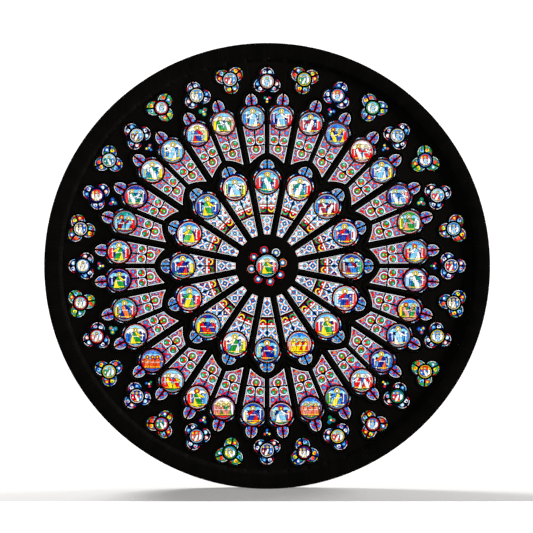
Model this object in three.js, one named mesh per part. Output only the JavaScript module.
// Rose window, 13th-century pattern: a stone wheel of sixteen bays, leaded glass in its lights.
// Millimetres, +Z up. The wheel stands in the X-Z plane and its outside faces -Y.
// The origin is the middle of the flat bed under the rim, where the window sits on the wall.

import * as THREE from 'three';

// Division of the wheel
const bayCount = 16;
const hubLobeCount = 8;

// Hub
const oculusRadius = 375;          // round middle of the eight-lobed opening
const hubLobeRadius = 131;
const hubLobeReach = 462;          // from the wheel's centre to a lobe's centre
const hubRadius = 918;             // to the corners of the hub ring's outline

// Inner lights, measured outwards from the hub ring
const innerSpokeWidth = 186;
const innerHeadRise = 1530;        // hub ring to the middle of the trefoil head
const innerHeadBite = 42;          // how far the head's side lobes cut into the spokes
const innerLobeRadius = 212;
const innerLobeRise = 433;         // middle of the head to the middle of its top lobe
const innerCrown = 215;            // stone over the top lobe
const archDrop = 180;              // arch centres lie this far below the middle of the head

// Outer lights, two to a bay, measured outwards from the inner arches
const mainSpokeWidth = 200;        // spokes between bays
const minorSpokeWidth = 140;       // spokes in the middle of a bay
const outerHeadRise = 1013;        // top of an inner arch to the middle of the trefoil head
const outerHeadBite = 65;
const outerLobeRadius = 173;       // half the width of the pointed top lobe
const outerLobePoint = 62;         // how far its arc centres pass the middle
const outerLobeRise = 485;

// Openings between the outer lights and the rim, measured outwards from the lights' points
const quoinDrop = 186;
const quoinLobeRadius = 67;
const quoinLobeReach = 75;
const bayTrefoilRise = 322;        // over the middle of a bay, one lobe up
const bayTrefoilLobeRadius = 209;
const bayTrefoilReach = 211;
const spokeTrefoilRise = 491;      // over a main spoke, one lobe down
const spokeTrefoilLobeRadius = 213;
const spokeTrefoilReach = 222;
const traceryBand = 892;           // lights' points to the outside of the tracery

// Rim
const rimWidth = 526;
const rimSplayWidth = 110;
const rimSides = 64;

// Depths, all centred on the plane of the glass
const rimDepth = 600;
const hubDepth = 480;
const traceryDepth = 420;
const glassThickness = 12;

// Fits
const jointGap = 0.3;              // between one ring of stones and the next
const glassClearance = 3;          // between a pane's edge and the stone round it

// Straight pieces that an arc is drawn with
const sideLobeSteps = 2;
const roundLobeSteps = 3;          // each half of a top lobe
const archBackSteps = 3;
const hubLobeSteps = 6;
const trefoilLobeSteps = 5;
const quoinLobeSteps = 3;

// Colours
const stoneColour = 0x2e2a26;
const hubGlassColour = 0x6f8f6a;
const innerGlassColour = 0x5f97cf;
const outerGlassColour = 0x8a6aa0;

const bayAngle = (2 * Math.PI) / bayCount;
const halfBay = bayAngle / 2;
const wheelCentre = new THREE.Vector2(0, 0);

// Plane geometry. A bay is drawn with its middle line up +Y, and then turned into place.

const polar = (centre, radius, angle) =>
  new THREE.Vector2(centre.x + radius * Math.cos(angle), centre.y + radius * Math.sin(angle));

const angleOf = (centre, point) => Math.atan2(point.y - centre.y, point.x - centre.x);

const turned = (points, angle) => points.map((p) => p.clone().rotateAround(wheelCentre, angle));

const mirrored = (points) => points.map((p) => new THREE.Vector2(-p.x, p.y)).reverse();

function arc(centre, radius, from, to, steps) {
  const points = [];
  for (let i = 0; i <= steps; i++) {
    points.push(polar(centre, radius, from + ((to - from) * i) / steps));
  }
  return points;
}

// Where two circles cross, on the right of the line from the first centre to the second
function circlesCross(a, radiusA, b, radiusB) {
  const apart = a.distanceTo(b);
  const along = (apart ** 2 + radiusA ** 2 - radiusB ** 2) / (2 * apart);
  const across = Math.sqrt(radiusA ** 2 - along ** 2);
  const ahead = b.clone().sub(a).normalize();
  const right = new THREE.Vector2(ahead.y, -ahead.x);
  return a.clone().addScaledVector(ahead, along).addScaledVector(right, across);
}

// The side of a spoke that leans to the right by an angle, seen from the light on its left
class SpokeSide {
  constructor(lean, offset) {
    this.offset = offset;
    this.along = new THREE.Vector2(Math.sin(lean), Math.cos(lean));
    this.away = new THREE.Vector2(-Math.cos(lean), Math.sin(lean));
  }

  at(distance) {
    return this.along.clone().multiplyScalar(distance).addScaledVector(this.away, this.offset);
  }

  atHeight(y) {
    return this.at((y - this.away.y * this.offset) / this.along.y);
  }

  distanceFrom(point) {
    return this.offset - point.dot(this.away);
  }

  lastCrossing(centre, radius) {
    const reach = Math.sqrt(radius ** 2 - this.distanceFrom(centre) ** 2);
    return this.at(centre.dot(this.along) + reach);
  }
}

// A light's trefoil head, from its right springing over the top to its left one.
// The inset draws the same head smaller, for the glass.
function trefoilHead({ side, middle, bite, lobe, point, rise, inset }) {
  const sideRadius = Math.abs(side(0).distanceFrom(middle)) + bite - inset;
  const springing = side(inset).lastCrossing(middle, sideRadius);
  const lobeCentre = new THREE.Vector2(-point, middle.y + rise);
  const lobeRadius = lobe + point - inset;
  const cusp = circlesCross(middle, sideRadius, lobeCentre, lobeRadius);
  const tip = new THREE.Vector2(0, lobeCentre.y + Math.sqrt(lobeRadius ** 2 - point ** 2));
  const right = [
    ...arc(middle, sideRadius, angleOf(middle, springing), angleOf(middle, cusp), sideLobeSteps),
    ...arc(lobeCentre, lobeRadius, angleOf(lobeCentre, cusp), angleOf(lobeCentre, tip),
      roundLobeSteps).slice(1, -1),
  ];
  return [...right, tip, ...mirrored(right)];
}

// Round lobes about a middle, one of them pointing along an angle, with the cusps between them
function foils(middle, count, reach, radius, firstAngle, steps) {
  const pitch = (2 * Math.PI) / count;
  const points = [];
  for (let i = 0; i < count; i++) {
    const lobeAngle = firstAngle + i * pitch;
    const lobe = polar(middle, reach, lobeAngle);
    const cuspReach = reach * Math.cos(pitch / 2)
      + Math.sqrt(radius ** 2 - (reach * Math.sin(pitch / 2)) ** 2);
    const before = angleOf(lobe, polar(middle, cuspReach, lobeAngle - pitch / 2)) - lobeAngle;
    const swing = Math.abs(Math.atan2(Math.sin(before), Math.cos(before)));
    points.push(...arc(lobe, radius, lobeAngle - swing, lobeAngle + swing, steps).slice(0, -1));
  }
  return points;
}

// Sizes that follow from the ones at the top
const hubFlat = hubRadius * Math.cos(halfBay / 2);
const innerMiddle = new THREE.Vector2(0, hubRadius + innerHeadRise);
const innerTop = innerMiddle.y + innerLobeRise + innerLobeRadius;
const archTop = innerTop + innerCrown;
const outerMiddle = new THREE.Vector2(0, archTop + outerHeadRise);
const outerTop = outerMiddle.y + outerLobeRise
  + Math.sqrt((outerLobeRadius + outerLobePoint) ** 2 - outerLobePoint ** 2);
const traceryRadius = outerTop + traceryBand;
const rimFlat = traceryRadius + rimWidth;

// Eight-lobed hub opening, the lobes open to the round middle
function hubOpening(inset) {
  const middleRadius = oculusRadius - inset;
  const radius = hubLobeRadius - inset;
  const pitch = (2 * Math.PI) / hubLobeCount;
  const points = [];
  for (let i = 0; i < hubLobeCount; i++) {
    const lobeAngle = Math.PI / 2 + halfBay + i * pitch;
    const lobe = polar(wheelCentre, hubLobeReach, lobeAngle);
    const mouth = circlesCross(wheelCentre, middleRadius, lobe, radius);
    const swing = Math.acos(lobe.clone().sub(mouth).normalize().dot(lobe.clone().normalize()));
    const open = Math.PI - swing;
    points.push(...arc(lobe, radius, lobeAngle - open, lobeAngle + open, hubLobeSteps));
  }
  return points;
}

// Inner light
const innerSide = (inset) => new SpokeSide(halfBay, innerSpokeWidth / 2 + inset);

const innerHead = (inset) => trefoilHead({
  side: innerSide, middle: innerMiddle, bite: innerHeadBite,
  lobe: innerLobeRadius, point: 0, rise: innerLobeRise, inset,
});

function innerPane() {
  const foot = innerSide(glassClearance).atHeight(hubFlat + glassClearance);
  return [foot, ...innerHead(glassClearance), ...mirrored([foot])];
}

// Back of the inner arch, right half, from the main spoke up to the minor one.
// It is struck from a centre on the opposite spoke.
function archBack(inset) {
  const level = innerMiddle.y - archDrop;
  const centre = new THREE.Vector2(-innerSide(0).atHeight(level).x, level);
  const radius = centre.distanceTo(new THREE.Vector2(0, archTop)) + inset;
  const foot = mainSide(inset).lastCrossing(centre, radius);
  const head = Math.acos((minorSpokeWidth / 2 + inset - centre.x) / radius);
  return arc(centre, radius, angleOf(centre, foot), head, archBackSteps);
}

const mainSide = (inset) => new SpokeSide(halfBay, mainSpokeWidth / 2 + inset);

// Outer light on the right of its bay. Its head is drawn on its own middle line, which stands
// half way between the two spokes, and then leaned over.
const outerSide = (inset) =>
  new SpokeSide(halfBay / 2, (mainSpokeWidth + minorSpokeWidth) / 4 + inset);

function outerHead(inset) {
  const shift = (minorSpokeWidth - mainSpokeWidth) / 4 / Math.cos(halfBay / 2);
  const head = trefoilHead({
    side: outerSide, middle: outerMiddle, bite: outerHeadBite,
    lobe: outerLobeRadius, point: outerLobePoint, rise: outerLobeRise, inset,
  });
  head.forEach((p) => { p.x += shift; });
  return turned(head, -halfBay / 2);
}

const outerPane = () => [
  ...outerHead(glassClearance),
  ...archBack(glassClearance).reverse(),
];

// Small openings of one bay, outside its lights
function bandOpenings() {
  const up = Math.PI / 2;
  const quoin = new THREE.Vector2(0, outerTop - quoinDrop);
  const bayTrefoil = new THREE.Vector2(0, outerTop + bayTrefoilRise);
  const spokeTrefoil = new THREE.Vector2(0, outerTop + spokeTrefoilRise);
  return [
    foils(quoin, 3, quoinLobeReach, quoinLobeRadius, -up, quoinLobeSteps),
    foils(bayTrefoil, 3, bayTrefoilReach, bayTrefoilLobeRadius, up, trefoilLobeSteps),
    turned(foils(spokeTrefoil, 3, spokeTrefoilReach, spokeTrefoilLobeRadius, -up,
      trefoilLobeSteps), halfBay),
  ];
}

// An outline that runs round the wheel, one stretch to a bay, from right to left
function roundTheWheel(stretch) {
  const points = [];
  for (let bay = 0; bay < bayCount; bay++) points.push(...turned(stretch, bay * bayAngle));
  return points;
}

function polygon(sides, flatDistance, firstFlat) {
  const half = Math.PI / sides;
  return arc(wheelCentre, flatDistance / Math.cos(half), firstFlat + half,
    firstFlat + half + 2 * Math.PI, sides).slice(0, -1);
}

// Flat pieces, drawn in the wheel's plane and centred on the plane of the glass
function plate(outline, holes, depth) {
  const shape = new THREE.Shape(outline);
  holes.forEach((hole) => shape.holes.push(new THREE.Path(hole)));
  const geometry = new THREE.ExtrudeGeometry(shape, { depth, bevelEnabled: false });
  return geometry.translate(0, 0, -depth / 2);
}

const hubRing = () =>
  plate(polygon(2 * bayCount, hubFlat, Math.PI / 2), [hubOpening(0)], hubDepth);

// Inner spokes with their trefoil-headed arches
function innerTracery() {
  const foot = innerSide(0).at(hubFlat + jointGap);
  const inside = [foot, ...innerHead(0), ...mirrored([foot])];
  const back = archBack(0);
  return plate(roundTheWheel([...back, ...mirrored(back)]), [roundTheWheel(inside)], traceryDepth);
}

// Outer spokes, their arches, and the band of trefoils
function outerTracery() {
  const back = archBack(0);
  const mainJoint = back[0].dot(mainSide(0).along);
  const minorJoint = back.at(-1).y;
  const rightLight = [
    mainSide(0).at(mainJoint + jointGap),
    ...outerHead(0),
    new THREE.Vector2(minorSpokeWidth / 2, minorJoint + jointGap),
  ];
  const holes = [roundTheWheel([...rightLight, ...mirrored(rightLight)])];
  for (let bay = 0; bay < bayCount; bay++) {
    bandOpenings().forEach((opening) => holes.push(turned(opening, bay * bayAngle)));
  }
  return plate(polygon(rimSides, traceryRadius, -Math.PI / 2), holes, traceryDepth);
}

// Rim with splayed inner edges, revolved about the wheel's axis
function rim() {
  const half = Math.PI / rimSides;
  const corner = (flat) => flat / Math.cos(half);
  const inside = corner(traceryRadius + jointGap);
  const splayed = corner(traceryRadius + rimSplayWidth);
  const outside = corner(rimFlat);
  const seat = traceryDepth / 2;
  const face = rimDepth / 2;
  const section = [
    [inside, seat], [inside, -seat], [splayed, -face], [outside, -face],
    [outside, face], [splayed, face], [inside, seat],
  ].map(([radius, depth]) => new THREE.Vector2(radius, depth));
  const geometry = new THREE.LatheGeometry(section, rimSides, half);
  return geometry.rotateX(Math.PI / 2);
}

const stone = () => new THREE.MeshStandardMaterial({ color: stoneColour, roughness: 0.92 });

const glass = (color) => new THREE.MeshStandardMaterial({
  color, roughness: 0.12, transparent: true, opacity: 0.75,
});

// Clockwise place of a piece, counted from the top of the wheel
const number = (i) => String(i + 1).padStart(2, '0');

const wheel = new THREE.Group();
wheel.rotation.x = Math.PI / 2;
wheel.position.z = rimFlat;

function add(name, geometry, material, angle = 0) {
  const mesh = new THREE.Mesh(geometry, material);
  mesh.name = name;
  mesh.rotation.z = angle;
  wheel.add(mesh);
}

add('hub_ring', hubRing(), stone());
add('inner_tracery', innerTracery(), stone());
add('outer_tracery', outerTracery(), stone());
add('rim', rim(), stone());
add('hub_glass', plate(hubOpening(glassClearance), [], glassThickness), glass(hubGlassColour));

for (let bay = 0; bay < bayCount; bay++) {
  const angle = -bay * bayAngle;
  add(`inner_light_glass_${number(bay)}`, plate(innerPane(), [], glassThickness),
    glass(innerGlassColour), angle);
  add(`outer_light_glass_${number(2 * bay)}`, plate(outerPane(), [], glassThickness),
    glass(outerGlassColour), angle);
  add(`outer_light_glass_${number(2 * bay + 1)}`, plate(mirrored(outerPane()), [], glassThickness),
    glass(outerGlassColour), angle - bayAngle);
}

const roseWindow = new THREE.Group();
roseWindow.add(wheel);

export default roseWindow;
